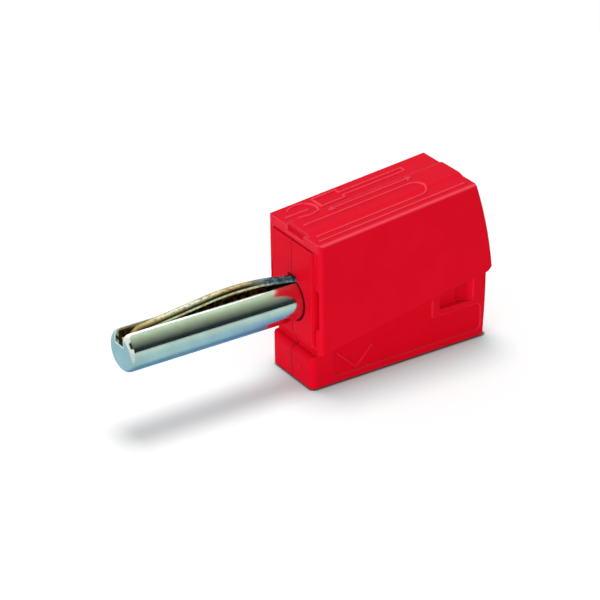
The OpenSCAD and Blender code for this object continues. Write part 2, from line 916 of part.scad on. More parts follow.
// the bend between the upper arm and the leg
module clamp_bend() {
    reach = 2 * bend_r;
    translate(bend_centre)
        intersection() {
            difference() {
                circle(bend_r);
                circle(bend_r - clamp_t);
            }
            polygon([
                [0, 0],
                reach * [-sin(arm_slope), cos(arm_slope)],
                [reach, reach],
                [reach, 0]
            ]);
        }
}

// the clamp from the side: lower arm, loop, upper arm, bend and leg
module clamp_outline() {
    up = [-sin(arm_slope), cos(arm_slope)];
    round_lap = 4 * lap;
    clamp_loop();
    clamp_bend();
    polygon([
        [loop_x, z_arm],
        [arm_end_x, z_arm],
        [arm_end_x, z_arm + clamp_t],
        [loop_x, z_arm + clamp_t],
        mid_strip(loop_centre, loop_r, clamp_t, 180 + round_lap)
    ]);
    polygon([
        loop_centre + loop_r * up,
        mid_strip(loop_centre, loop_r, clamp_t, -arm_slope - round_lap),
        loop_centre + (loop_r - clamp_t) * up,
        bend_centre + (bend_r - clamp_t) * up,
        mid_strip(bend_centre, bend_r, clamp_t, round_lap - arm_slope),
        bend_centre + bend_r * up
    ]);
    polygon([
        [leg_x, leg_floor],
        [leg_x, bend_z],
        mid_strip(bend_centre, bend_r, clamp_t, 90 - round_lap),
        [leg_x - clamp_t, bend_z],
        [leg_x - clamp_t, leg_floor]
    ]);
}

module clamp_spring() {
    window_half = clamp_w / 2 - leg_rail;
    color(spring_steel)
        difference() {
            across(clamp_w)
                clamp_outline();
            box([leg_x - clamp_t - arm_gap / 2, -window_half, leg_floor + crossbar_h],
                [leg_x + over, window_half, leg_window_top]);
        }
}

right_half_shell();
left_half_shell();
press_lever();
contact_pin();
bow_spring();
current_bar();
clamp_spring();
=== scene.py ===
import json
import math

import bmesh
import bpy
from mathutils import Matrix, Vector
from mathutils.bvhtree import BVHTree


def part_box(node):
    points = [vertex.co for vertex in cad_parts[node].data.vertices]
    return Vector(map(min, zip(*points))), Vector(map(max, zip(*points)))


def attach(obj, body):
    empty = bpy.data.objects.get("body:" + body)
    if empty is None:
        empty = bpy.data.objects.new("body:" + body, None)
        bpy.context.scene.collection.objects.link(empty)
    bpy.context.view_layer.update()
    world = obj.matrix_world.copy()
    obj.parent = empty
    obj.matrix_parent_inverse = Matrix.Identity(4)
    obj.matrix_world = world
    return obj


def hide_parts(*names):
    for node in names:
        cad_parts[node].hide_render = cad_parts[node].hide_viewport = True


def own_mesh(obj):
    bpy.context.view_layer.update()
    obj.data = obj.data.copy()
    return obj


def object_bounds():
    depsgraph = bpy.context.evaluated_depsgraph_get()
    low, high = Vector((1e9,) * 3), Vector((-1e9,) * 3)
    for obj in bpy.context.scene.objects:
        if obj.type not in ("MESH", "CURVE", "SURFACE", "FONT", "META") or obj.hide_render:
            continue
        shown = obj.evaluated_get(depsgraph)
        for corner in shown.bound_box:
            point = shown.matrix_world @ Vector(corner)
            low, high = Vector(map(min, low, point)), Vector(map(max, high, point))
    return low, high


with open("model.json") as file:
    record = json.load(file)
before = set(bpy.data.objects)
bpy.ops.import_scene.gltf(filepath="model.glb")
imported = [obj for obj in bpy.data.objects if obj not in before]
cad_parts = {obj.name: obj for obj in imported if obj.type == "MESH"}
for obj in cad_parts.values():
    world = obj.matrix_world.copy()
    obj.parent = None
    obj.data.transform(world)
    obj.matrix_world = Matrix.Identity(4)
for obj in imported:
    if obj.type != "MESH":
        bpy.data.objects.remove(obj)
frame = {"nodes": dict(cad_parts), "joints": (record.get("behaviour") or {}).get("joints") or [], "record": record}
cadLow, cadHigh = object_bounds()
nodes = frame["nodes"]
mm = 0.001
outside = 5 * mm            # a start for rays that is clear of the part
noiseSpan = (0.3, 0.7)      # where most of a noise's values lie
noiseMiddle = 0.5
bevelSamples = 6
print("frame loaded:", ", ".join(sorted(nodes)))


# shader sockets as values
class Link:
    def __init__(self, tree, socket=None):
        self.tree = tree
        self.socket = socket

    # any node: its settings are set first, then the values or links of its sockets
    def node(self, kind, settings=None, inputs=None, out=0):
        made = self.tree.nodes.new("ShaderNode" + kind)
        for name, value in (settings or {}).items():
            if name == "stops":
                self.fillRamp(made.color_ramp, value)
            else:
                setattr(made, name, value)
        for name, value in (inputs or {}).items():
            if isinstance(value, Link):
                self.tree.links.new(value.socket, made.inputs[name])
            else:
                made.inputs[name].default_value = value
        return Link(self.tree, made.outputs[out] if made.outputs else None)

    @staticmethod
    def fillRamp(ramp, stops):
        while len(ramp.elements) < len(stops):
            ramp.elements.new(0.5)
        for element, (place, colour) in zip(ramp.elements, stops):
            element.position = place
            element.color = (*colour, 1)

    def math(self, operation, a, b=0.0):
        return self.node("Math", {"operation": operation}, {0: a, 1: b})

    def largest(self, *values):
        top = values[0]
        for value in values[1:]:
            top = self.math("MAXIMUM", top, value)
        return top

    def __add__(self, other):
        return self.math("ADD", self, other)

    def __radd__(self, other):
        return self.math("ADD", other, self)

    def __sub__(self, other):
        return self.math("SUBTRACT", self, other)

    def __rsub__(self, other):
        return self.math("SUBTRACT", other, self)

    def __mul__(self, other):
        return self.math("MULTIPLY", self, other)

    def __rmul__(self, other):
        return self.math("MULTIPLY", other, self)

    def __truediv__(self, other):
        return self.math("DIVIDE", self, other)

    def __rtruediv__(self, other):
        return self.math("DIVIDE", other, self)

    def __pow__(self, other):
        return self.math("POWER", self, other)

    def __rpow__(self, other):
        return self.math("POWER", other, self)

    def __neg__(self):
        return 0 - self

    def __abs__(self):
        return self.math("ABSOLUTE", self)

    # the same number line, stretched from one range to another and held at its ends
    def spread(self, low, high, newLow=0.0, newHigh=1.0):
        return self.node("MapRange", {}, {"Value": self, "From Min": low, "From Max": high,
                                          "To Min": newLow, "To Max": newHigh})

    # a mask that goes from 0 to 1, or from 1 to 0, within a width
    def rise(self, start, width):
        return self.spread(start, start + width)

    def fall(self, start, width):
        return self.spread(start, start + width, 1, 0)

    def noise(self, place, scale, detail, roughness):
        return self.node("TexNoise", {}, {"Vector": place, "Scale": scale, "Detail": detail,
                                          "Roughness": roughness})

    # the two colours are links, or red, green and blue values
    def mixColour(self, share, first, second):
        first, second = (c if isinstance(c, Link) else (*c, 1) for c in (first, second))
        return self.node("Mix", {"data_type": "RGBA"}, {0: share, 6: first, 7: second}, out=2)

    # where a point lies on the piece, in millimetres
    def place(self):
        seen = self.node("TexCoord", {}, {}, out="Object")
        return self.node("VectorMath", {"operation": "SCALE"}, {0: seen, "Scale": 1 / mm})

    # which way the surface faces on the piece
    def facing(self):
        return self.axes(self.node("TexCoord", {}, {}, out="Normal"))

    def axes(self, vector):
        return [self.node("SeparateXYZ", {}, {0: vector}, out=k) for k in range(3)]

    # the surface's direction with edges rounded by a radius in millimetres
    def rounded(self, radius):
        return self.node("Bevel", {"samples": bevelSamples}, {"Radius": radius * mm})

    # fine relief of a look's own depth, on the plain surface or on a rounded one
    def bump(self, look, height, normal=None):
        inputs = {"Strength": look["bumpStrength"], "Distance": look["bumpDepth"] * mm, "Height": height}
        if normal:
            inputs["Normal"] = normal
        return self.node("Bump", {}, inputs)


def newFinish(name):
    material = bpy.data.materials.new(name)
    material.use_nodes = True
    material.node_tree.nodes.clear()
    return material, Link(material.node_tree)


# one Principled shader: fixed numbers stay on its sockets, and what varies is linked
def closeFinish(link, fixed, varied):
    shader = link.node("BsdfPrincipled", {}, {**fixed, **varied})
    link.node("OutputMaterial", {}, {"Surface": shader})


def surfaceOf(name):
    return BVHTree.FromObject(nodes[name], bpy.context.evaluated_depsgraph_get())


# red plastic of the shells, the lever and their raised marks; sizes are in millimetres, and a noise is
# given by its scale, detail and roughness
plasticLook = {
    "red": (0.785, 0.0022, 0.0185), "deepRed": (0.75, 0.0015, 0.0155),
    "cloud": (0.32, 3.0, 0.55), "grain": (16.0, 2.0, 0.6), "peel": (2.2, 2.0, 0.5),
    "roughLow": 0.33, "roughHigh": 0.47, "roughCloud": 0.06, "roughPanel": 0.12,
    "ior": 1.1,
    "bumpStrength": 0.12, "bumpDepth": 0.02,
    # painted highlight: edges are paler the more they bend the surface
    "edgeRed": (0.95, 0.11, 0.16), "edgeRadius": 0.17, "edgeShare": 0.3, "bendFrom": 0.02, "bendTo": 0.25,
    # the side panels' floor is deeper in tone, within a small distance of its depth
    "panelRed": (0.745, 0.001, 0.0135), "panelShare": 0.75, "panelNear": 0.02, "panelFade": 0.03,
}

# how far the side panel's floor lies from the mid-plane, in millimetres
panelSpot = {"x": 10.0, "z": -6.0}
panelStart = Vector((panelSpot["x"] * mm, cadLow.y - outside, panelSpot["z"] * mm))
panelFloor = abs(surfaceOf("right_half_shell").ray_cast(panelStart, Vector((0, 1, 0)))[0].y) / mm


# accents paint highlight and shade into the tone, and change the share of the painted edge highlight, at places of
# one piece
def plasticFinish(name, look, accents=None):
    material, link = newFinish(name)
    place = link.place()
    spot = link.axes(place)
    cloud, grain, peel = (link.noise(place, *look[kind]) for kind in ("cloud", "grain", "peel"))
    tone = link.mixColour(cloud.spread(*noiseSpan), look["red"], look["deepRed"])
    onPanel = abs(abs(spot[1]) - panelFloor).fall(look["panelNear"], look["panelFade"])
    tone = link.mixColour(onPanel * look["panelShare"], tone, look["panelRed"])
    rounded = link.rounded(look["edgeRadius"])
    trueNormal = link.node("NewGeometry", {}, {}, out="Normal")
    agree = link.node("VectorMath", {"operation": "DOT_PRODUCT"}, {0: rounded, 1: trueNormal}, out="Value")
    # painted highlight on the edges, where the rounded direction parts from the true one
    edge = (1 - agree).spread(look["bendFrom"], look["bendTo"]) * look["edgeShare"]
    if accents:
        tone, edge = accents(link, look, spot, tone, edge)
    tone = link.mixColour(edge, tone, look["edgeRed"])
    rough = grain.spread(*noiseSpan, look["roughLow"], look["roughHigh"])
    rough = rough + cloud * look["roughCloud"] + onPanel * look["roughPanel"]
    bump = link.bump(look, (grain + peel) / 2, rounded)
    closeFinish(link, {"IOR": look["ior"]}, {"Base Color": tone, "Roughness": rough, "Normal": bump})
    return material


# the shells are darker along the parting line, a dark joint, and painted shade darkens the rear of the catch
# windows
shellLook = {
    **plasticLook,
    "seamRed": (0.30, 0.0, 0.003), "seamHalf": 0.05, "seamFade": 0.05, "seamShare": 0.6,
    "recessFrom": 16.0, "recessTo": 17.6, "recessLow": -7.8, "recessDepth": 0.3, "recessFade": 0.2,
    "recessShare": 0.36,
}


def shellAccents(link, look, spot, tone, edge):
    x, y, z = spot
    fade = look["recessFade"]
    seam = abs(y).fall(look["seamHalf"], look["seamFade"]) * look["seamShare"]
    # painted shade at the rear of the catch windows, deeper than the panel's floor
    recess = abs(y).fall(panelFloor - look["recessDepth"], fade) * z.rise(look["recessLow"], fade)
    recess = recess * x.rise(look["recessFrom"], fade) * x.fall(look["recessTo"], fade)
    tone = link.mixColour(link.largest(seam, recess * look["recessShare"]), tone, look["seamRed"])
    return tone, edge * (1 - seam)


# painted highlights make the lever paler on its edges, round corners, top and lip, and painted shade darkens the
# pocket in its lip
leverLook = {
    **plasticLook,
    "red": (0.80, 0.0022, 0.0185), "deepRed": (0.765, 0.0015, 0.0155), "cloud": (0.27, 3.0, 0.55),
    "edgeRadius": 0.2, "edgeShare": 0.9, "edgeLow": 2.0, "edgeFade": 1.0,
    # painted highlight: the round corners beside the top are palest half-way, the upright ones less so
    "rimFrom": 3.5, "rimFade": 0.1, "rimPower": 3, "rimShare": 0.7, "uprightShare": 0.35,
    "topRed": (0.81, 0.008, 0.030), "topShare": 0.7, "topFrom": 0.6, "topTo": 0.95,
    # painted shade: the pocket in the lip is deeper in tone, except on its ledge, which faces up
    "lipShare": 0.15, "lipDepth": 0.1, "lipLow": 5.8, "lipFade": 0.3,
    "pocketRed": (0.60, 0.0, 0.008), "pocketShare": 0.7, "pocketFade": 0.04,
    "pocketY": -0.28, "pocketHalf": 1.39, "pocketLow": 6.2, "pocketDepth": 0.21,
    "ledgeFrom": 0.4, "ledgeTo": 0.8,
}


def leverAccents(link, look, spot, tone, edge):
    x, y, z = spot
    nx, ny, nz = link.facing()
    # painted highlight on the round corners, from the way the surface faces
    rim = abs(y).rise(look["rimFrom"], look["rimFade"]) * abs(ny) * 2       # with nz, 1 at 45 degrees
    slant = link.largest(rim * nz, rim * link.largest(-nx, 0.0) * look["uprightShare"])
    edge = link.largest(edge * z.rise(look["edgeLow"], look["edgeFade"]),
                        slant ** look["rimPower"] * look["rimShare"])
    # painted sheen: the lever's top is paler where it faces up
    tone = link.mixColour(nz.spread(look["topFrom"], look["topTo"]) * look["topShare"], tone, look["topRed"])
    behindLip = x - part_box("press_lever")[0].x / mm
    # painted highlight along the lip's front edge
    lip = behindLip.fall(look["lipDepth"] / 2, look["lipDepth"] / 2) * z.rise(look["lipLow"], look["lipFade"])
    tone = link.mixColour(lip * look["lipShare"], tone, look["edgeRed"])
    # painted shade in the lip's pocket, except on its ledge, which faces up
    fade = look["pocketFade"]
    pocket = abs(y - look["pocketY"]).fall(look["pocketHalf"], fade) * z.rise(look["pocketLow"], fade)
    pocket = pocket * behindLip.rise(look["lipDepth"], fade) * behindLip.fall(look["pocketDepth"], fade / 2)
    pocket = pocket * nz.spread(look["ledgeFrom"], look["ledgeTo"], 1, 0)
    tone = link.mixColour(pocket * look["pocketShare"], tone, look["pocketRed"])
    return tone, edge * (1 - pocket)


# painted highlight makes the lever's raised marks a little paler, like other edges, and painted shade darkens
# their near sides
ridgeLook = {
    **plasticLook,
    "red": (0.92, 0.065, 0.10), "deepRed": (0.88, 0.045, 0.08),
    "shadeRed": (0.50, 0.0, 0.008), "shadeShare": 0.5, "shadeFrom": 0.3, "shadeTo": 0.8,
}


def ridgeAccents(link, look, spot, tone, edge):
    # painted shade on the near sides, which face away from the light
    near = -link.facing()[1]
    shade = near.spread(look["shadeFrom"], look["shadeTo"]) * look["shadeShare"]
    return link.mixColour(shade, tone, look["shadeRed"]), edge * (1 - shade)


# the shells' raised marks
markLook = {**plasticLook, "red": (0.805, 0.008, 0.027), "deepRed": (0.785, 0.006, 0.024)}

# bright plating of the pin, with the fine rings that turning leaves
pinRadius = next(m for m in frame["record"]["mounts"] if m["name"] == "plug_pin")["dims"]["r_mm"]
nickelLook = {
    "bright": (0.80, 0.81, 0.79), "dull": (0.66, 0.67, 0.65), "dullFrom": 0.35, "dullTo": 0.75,
    "ringScale": 9.0, "ringDetail": 4.0, "grain": (11.0, 3.0, 0.65), "cloud": (0.5, 3.0, 0.6),
    "roughLow": 0.06, "roughHigh": 0.13, "roughCloud": 0.04, "roughSlot": 0.3,
    "edgeRadius": 0.12, "bumpStrength": 0.26, "bumpDepth": 0.006,
    # dull and dark inside the slot: partly tarnish, partly painted shade
    "tarnishAndShade": (0.035, 0.028, 0.02), "slotDepth": 0.14, "slotFade": 0.12, "tipDepth": 0.3, "tipFade": 0.1,
    # brown patches on the slot's walls, fewer near the tip
    "brown": (0.80, 0.50, 0.17), "patches": (2.4, 3.0, 0.6), "patchFrom": 0.38, "patchTo": 0.6,
    "wallFade": 0.1, "tipFrom": 0.6, "tipTo": 2.6, "tipShare": 0.12,
    # worn bright, partly real wear and partly a painted highlight, along the slot's edges, but not near the
    # housing, and round its mouth at the tip
    "rubbedHighlight": (0.95, 0.95, 0.93), "rubbedRough": 0.42, "rubbedWidth": 0.2, "rubbedFade": 0.1,
    "rubbedFrom": -4.0, "rubbedTo": -3.0, "crownLow": 1.2, "crownFade": 0.2,
    "mouthGap": 0.08, "mouthWidth": 0.12, "mouthFade": 0.04, "faceDepth": 0.03,
}


def nickelFinish(name, look):
    material, link = newFinish(name)
    place = link.place()
    x, y, z = link.axes(place)
    rings = link.node("TexNoise", {"noise_dimensions": "1D"},
                      {"W": x, "Scale": look["ringScale"], "Detail": look["ringDetail"]})
    grain, cloud, patches = (link.noise(place, *look[kind]) for kind in ("grain", "cloud", "patches"))
    tone = link.mixColour(cloud.spread(look["dullFrom"], look["dullTo"]), look["bright"], look["dull"])
    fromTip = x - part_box("contact_pin")[0].x / mm
    stripLow, stripHigh = (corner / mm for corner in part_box("bow_spring"))
    fromStrip = abs(y) - stripHigh.y
    depth = pinRadius - (y * y + z * z) ** 0.5
    inSlot = depth.rise(look["slotDepth"], look["slotFade"]) * fromTip.rise(look["tipDepth"], look["tipFade"])
    onWall = fromStrip.rise(-look["wallFade"], look["wallFade"])
    onWall = onWall * fromTip.spread(look["tipFrom"], look["tipTo"], look["tipShare"], 1)
    patches = patches.spread(look["patchFrom"], look["patchTo"]) * onWall
    # the slot's inside is painted dark, partly tarnish and partly shade
    tone = link.mixColour(inSlot, tone, link.mixColour(patches, look["tarnishAndShade"], look["brown"]))
    onCrown = z.rise(look["crownLow"], look["crownFade"])
    onCrown = onCrown * x.spread(look["rubbedFrom"], look["rubbedTo"], 1, 0)
    # painted highlight, partly real wear, along the slot's edges and round the mouth at the tip
    rubbedHighlight = fromStrip.fall(look["rubbedWidth"], look["rubbedFade"]) * onCrown * (1 - inSlot)
    fromMouth = link.largest(fromStrip - look["mouthGap"], stripLow.z - z)
    mouth = fromMouth.fall(look["mouthWidth"], look["mouthFade"])
    rubbedHighlight = link.largest(rubbedHighlight, mouth * fromTip.fall(look["faceDepth"], look["faceDepth"]))
    tone = link.mixColour(rubbedHighlight, tone, look["rubbedHighlight"])
    rough = grain.spread(*noiseSpan, look["roughLow"], look["roughHigh"]) + cloud * look["roughCloud"]
    rough = rough + inSlot * look["roughSlot"] + rubbedHighlight * look["rubbedRough"]
    bump = link.bump(look, (rings + grain) / 2, link.rounded(look["edgeRadius"]))
    closeFinish(link, {"Metallic": 1.0}, {"Base Color": tone, "Roughness": rough, "Normal": bump})
    return material


# bronze of the bow spring
bronzeLook = {
    # colour along the strip, from the foot to the root: darker at the foot, palest on the front part, partly the
    # bronze's colour and partly a painted highlight, and a dull oxide at the root
    "footX": -17.2, "rootX": 1.0, "wander": 3.6,
    "tintAndHighlight": [(0.0, (0.40, 0.25, 0.09)), (0.1, (0.60, 0.42, 0.17)), (0.18, (0.94, 0.84, 0.48)),
             (0.35, (0.97, 0.96, 0.76)), (0.5, (0.90, 0.78, 0.42)), (0.6, (0.76, 0.58, 0.24)),
             (0.68, (0.54, 0.48, 0.20)), (0.76, (0.30, 0.38, 0.24)), (0.84, (0.08, 0.30, 0.34)),
             (0.92, (0.05, 0.28, 0.45)), (1.0, (0.03, 0.12, 0.20))],
    "oxideFrom": 0.5, "oxideTo": 0.68, "oxideMetal": 0.12, "ior": 1.2,
    "stains": (2.6, 4.0, 0.65), "grain": (7.0, 3.0, 0.6), "flecks": (3.4, 3.0, 0.6),
    "stain": (0.22, 0.12, 0.035), "stainFrom": 0.47, "stainTo": 0.66, "stainShare": 0.8,
    # painted shade and painted reflection: the top face is darkest at its edges, more so on the near side and less
    # at the root
    "edgeShadeTint": (0.015, 0.011, 0.004), "nearFrom": 0.0, "nearTo": 0.38, "farFrom": 0.28, "farTo": 0.44,
    "rimEnd": 0.8, "rimRoot": 0.35,
    # the sheared sides are pale and dull
    "topFrom": 0.58, "topTo": 0.74, "shear": (0.58, 0.78, 0.50), "shearMetal": 0.3, "shearRough": 0.25,
    "shearStain": (0.56, 0.37, 0.11), "shearFrom": 0.45, "shearTo": 0.6,
    # blue flecks on the dark root
    "rootDark": (0.012, 0.045, 0.055), "rootBlue": (0.09, 0.38, 0.50), "fleckFrom": 0.44, "fleckTo": 0.62,
    "rootFrom": 0.7, "rootTo": 0.82, "rootShare": 0.85,
    "roughLow": 0.12, "roughHigh": 0.26, "bumpStrength": 0.2, "bumpDepth": 0.01,
}


def bronzeFinish(name, look):
    material, link = newFinish(name)
    place = link.place()
    x, y, _ = link.axes(place)
    stains, grain, flecks = (link.noise(place, *look[kind]) for kind in ("stains", "grain", "flecks"))
    # the tones along the strip hold a painted highlight, palest on its front part
    along = (x + (stains - noiseMiddle) * look["wander"]).spread(look["footX"], look["rootX"])
    tintAndHighlight = link.node("ValToRGB", {"stops": look["tintAndHighlight"]}, {"Fac": along})
    stained = stains.spread(look["stainFrom"], look["stainTo"]) * look["stainShare"]
    top = link.mixColour(stained, tintAndHighlight, look["stain"])
    shearStained = stains.spread(look["shearFrom"], look["shearTo"])
    side = link.mixColour(shearStained, look["shear"], look["shearStain"])
    flecks = flecks.spread(look["fleckFrom"], look["fleckTo"])
    root = link.mixColour(flecks, look["rootDark"], look["rootBlue"])
    atRoot = along.spread(look["rootFrom"], look["rootTo"])
    top = link.mixColour(atRoot, top, root)
    side = link.mixColour(atRoot * look["rootShare"], side, root)
    # painted shade and reflection at the top face's edges, darkest on the near side
    near, far = (-y).spread(look["nearFrom"], look["nearTo"]), y.spread(look["farFrom"], look["farTo"])
    rim = link.largest(near, far) * along.spread(look["oxideTo"], look["rimEnd"], 1, look["rimRoot"])
    top = link.mixColour(rim, top, look["edgeShadeTint"])
    upward = link.facing()[2].spread(look["topFrom"], look["topTo"])
    tone = link.mixColour(upward, side, top)
    metal = along.spread(look["oxideFrom"], look["oxideTo"], 1.0, look["oxideMetal"])
    metal = metal * upward.spread(0, 1, look["shearMetal"], 1)
    rough = grain.spread(*noiseSpan, look["roughLow"], look["roughHigh"]) + (1 - upward) * look["shearRough"]
    closeFinish(link, {"IOR": look["ior"]}, {"Base Color": tone, "Metallic": metal, "Roughness": rough,
                                             "Normal": link.bump(look, grain)})
    return material


# rolled strip with fine lines along its length
stripLook = {
    "stretch": (0.15, 1.0, 0.4), "cloud": (0.8, 3.0, 0.6), "dullFrom": 0.35, "dullTo": 0.7,
    "bumpStrength": 0.2, "bumpDepth": 0.01,
}
tinLook = {
    **stripLook, "bright": (0.72, 0.72, 0.70), "dull": (0.54, 0.54, 0.52),
    "roughLow": 0.3, "roughHigh": 0.5, "lines": (6.0, 3.0, 0.6),
}
steelLook = {
    **stripLook, "bright": (0.60, 0.60, 0.58), "dull": (0.42, 0.42, 0.41),
    "roughLow": 0.24, "roughHigh": 0.42, "lines": (9.0, 3.0, 0.6),
}


def stripFinish(name, look):
    material, link = newFinish(name)
    place = link.place()
    stretched = link.node("VectorMath", {"operation": "MULTIPLY"}, {0: place, 1: look["stretch"]})
    lines = link.noise(stretched, *look["lines"])
    cloud = link.noise(place, *look["cloud"])
    tone = link.mixColour(cloud.spread(look["dullFrom"], look["dullTo"]), look["bright"], look["dull"])
    rough = lines.spread(*noiseSpan, look["roughLow"], look["roughHigh"])
    closeFinish(link, {"Metallic": 1.0}, {"Base Color": tone, "Roughness": rough,
                                          "Normal": link.bump(look, lines)})
    return material


housingPlastic = plasticFinish("housingPlastic", shellLook, shellAccents)
leverPlastic = plasticFinish("leverPlastic", leverLook, leverAccents)
ridgePlastic = plasticFinish("ridgePlastic", ridgeLook, ridgeAccents)
markPlastic = plasticFinish("markPlastic", markLook)
platedNickel = nickelFinish("platedNickel", nickelLook)
bowBronze = bronzeFinish("bowBronze", bronzeLook)
tinnedCopper = stripFinish("tinnedCopper", tinLook)
clampSteel = stripFinish("clampSteel", steelLook)


def dress(piece, material):
    piece.data.materials.clear()
    piece.data.materials.append(material)


dress(nodes["right_half_shell"], housingPlastic)
dress(nodes["left_half_shell"], housingPlastic)
dress(nodes["press_lever"], leverPlastic)
dress(nodes["contact_pin"], platedNickel)
dress(nodes["current_bar"], tinnedCopper)
print("finishes made:", len(bpy.data.materials))


# meshes
def addToScene(name, data):
    made = bpy.data.objects.new(name, data)
    bpy.context.scene.collection.objects.link(made)
    return made


def meshObject(name, mesh):
    mesh.normal_update()
    data = bpy.data.meshes.new(name)
    mesh.to_mesh(data)
    mesh.free()
    return addToScene(name, data)


def newPiece(name, mesh, material, body):
    piece = meshObject(name, mesh)
    dress(piece, material)
    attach(piece, body)
    return piece


# rings of points, one after another, joined into a tube that has end caps or closes on itself
def loft(mesh, rings, closed=False):
    rows = [[mesh.verts.new(point) for point in ring] for ring in rings]
    count = len(rows[0])
    pairs = list(zip(rows, rows[1:])) + ([(rows[-1], rows[0])] if closed else [])
    for one, two in pairs:
        for k in range(count):
            face = mesh.faces.new((one[k], one[(k + 1) % count], two[(k + 1) % count], two[k]))
            face.smooth = True
    if not closed:
        mesh.faces.new(list(reversed(rows[0])))
        mesh.faces.new(rows[-1])


# bow spring: a strip with a rounded section along the top and underside of its solid
bowShape = {
    "tailEnd": 0.65,        # just inside the housing's front wall
    "endTrim": 0.02,
    "steps": 150,
    "sectionPoints": 36,
    "topShare": 0.86,       # of the strip's thickness, above its widest place
    "belly": 0.08, "bellyFade": 3.0,    # how far its middle is thicker, and the way in from its ends
    "squareness": 2.3,
}


# a strip's cross-section, between an ellipse and a rectangle
def stripSection(half, low, high, shape):
    middle = high - (high - low) * shape["topShare"]
    power = 2 / shape["squareness"]
    section = []
    for k in range(shape["sectionPoints"]):
        angle = 2 * math.pi * k / shape["sectionPoints"]
        across, up = math.cos(angle), math.sin(angle)
        reach = (high - middle) if up > 0 else (middle - low)
        section.append((half * math.copysign(abs(across) ** power, across),
                        middle + reach * math.copysign(abs(up) ** power, up)))
    return section


def bowStrip(shape):
    solid = surfaceOf("bow_spring")
    low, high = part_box("bow_spring")
    startX = low.x + shape["endTrim"] * mm
    endX = shape["tailEnd"] * mm
    rings = []
    for k in range(shape["steps"] + 1):
        x = startX + (endX - startX) * k / shape["steps"]
        top = solid.ray_cast(Vector((x, 0, high.z + outside)), Vector((0, 0, -1)))[0].z
        foot = solid.ray_cast(Vector((x, 0, low.z - outside)), Vector((0, 0, 1)))[0].z
        inset = min(x - startX, endX - x) / (shape["bellyFade"] * mm)
        section = stripSection(high.y, foot - shape["belly"] * mm * min(inset, 1), top, shape)
        rings.append([(x, y, z) for y, z in section])
    mesh = bmesh.new()
    loft(mesh, rings)
    bmesh.ops.recalc_face_normals(mesh, faces=mesh.faces)
    piece = newPiece("bow_strip", mesh, bowBronze, "bow")
    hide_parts("bow_spring")
    # pressed, the real strip flattens; here the press's travel is read from the joint and set against the strip's
    # height, but nothing uses the result
    travel = next(j for j in frame["joints"] if j["name"] == "bow_press")["range_m"][1]
    1 - travel / (high.z - low.z)
    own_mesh(piece)


bowStrip(bowShape)


# clamp spring: the solid's own shape with softened edges; the real one gives way under the lever's rib, this one
# does not
clampShape = {
    "weld": 0.002, "flatAngle": 1.0, "sharpAngle": 50.0,    # millimetres and degrees
    "edge": 0.06, "edgeSteps": 2,
    "keep": 0.87, "anchorZ": -3.4,
}


def clampLoop(shape):
    mesh = bmesh.new()
    mesh.from_mesh(nodes["clamp_spring"].data)
    bmesh.ops.remove_doubles(mesh, verts=mesh.verts, dist=shape["weld"] * mm)
    flat, sharp = math.radians(shape["flatAngle"]), math.radians(shape["sharpAngle"])
    bmesh.ops.dissolve_limit(mesh, angle_limit=flat, verts=mesh.verts, edges=mesh.edges)
    corners = [e for e in mesh.edges if len(e.link_faces) == 2 and e.calc_face_angle() > sharp]
    bmesh.ops.bevel(mesh, geom=corners, offset=shape["edge"] * mm, segments=shape["edgeSteps"], profile=0.5,
                    affect="EDGES", clamp_overlap=True)
    for face in mesh.faces:
        face.smooth = False
    piece = newPiece("clamp_loop", mesh, clampSteel, "housing")
    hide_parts("clamp_spring")
    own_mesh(piece)


clampLoop(clampShape)
print("springs made")


# raised marks, moulded on the plastic
def arc(centre, radius, start, end, steps):
    turn = [math.radians(start + (end - start) * k / steps) for k in range(steps + 1)]
    return [(centre[0] + radius * math.cos(a), centre[1] + radius * math.sin(a)) for a in turn]


def resample(path, step):
    points = [Vector(p) for p in path]
    out = [points[0]]
    for one, two in zip(points, points[1:]):
        count = max(1, round((two - one).length / step))
        out += [one.lerp(two, k / count) for k in range(1, count + 1)]
    return out


# drops flat points on a solid along one axis, from a start outside it, and gives the spot and its normal
def dropOn(name, axis, start):
    solid = surfaceOf(name)
    way = Vector()
    way[axis] = -math.copysign(1, start)
    others = [k for k in range(3) if k != axis]

    def lay(point):
        above = Vector()
        above[axis] = start
        for k, value in zip(others, point):
            above[k] = value * mm
        return solid.ray_cast(above, way)[:2]
    return lay


ridgeFlank = ((0.8, 0.55), (0.4, 0.92))     # shares of a ridge's half width and height, from its foot up


# a low rounded ridge along a flat path that is laid on a surface
def ridge(mesh, path, lay, shape, closed=False):
    points = resample(path + [path[0]] if closed else path, shape["step"])
    if closed:
        points.pop()
    half, rise = shape["width"] / 2, shape["height"]
    flank = [(half, -shape["sink"])] + [(half * a, rise * b) for a, b in ridgeFlank]
    section = flank + [(-a, b) for a, b in reversed(flank)]
    seats = [lay(p) for p in points]
    rings = []
    for k, (spot, normal) in enumerate(seats):
        before = seats[k - 1][0] if closed or k else spot
        after = seats[(k + 1) % len(seats)][0] if closed or k + 1 < len(seats) else spot
        run = (after - before).normalized()
        side = run.cross(normal).normalized()
        rings.append([spot + side * (a * mm) + normal * (b * mm) for a, b in section])
    loft(mesh, rings, closed)


# places on the lever's top, seen from above
topMarks = {
    "ridge": {"width": 0.28, "height": 0.11, "sink": 0.03, "step": 0.2},
    "ring": {"centre": (2.65, 2.15), "radius": 1.4, "start": -140, "end": 143, "steps": 40},
    "lead": ((0.8, 2.17), (3.3, 2.1)),
    "wire": ((4.45, 1.82), (7.0, 1.82), (7.0, 2.25), (13.8, 2.25),
             (13.8, 2.92), (7.0, 2.92), (7.0, 3.5), (4.45, 3.5)),
    "arrowY": 0.42, "arrowFrom": 4.3, "arrowTo": 13.2, "arrowHead": 0.55,
    "padFrom": 1.05, "padTo": 12.25, "padLow": -2.6, "padHigh": -0.5, "padSteps": 24,
    "lineY": -3.45, "lineFrom": 0.75, "lineTo": 16.5,
}


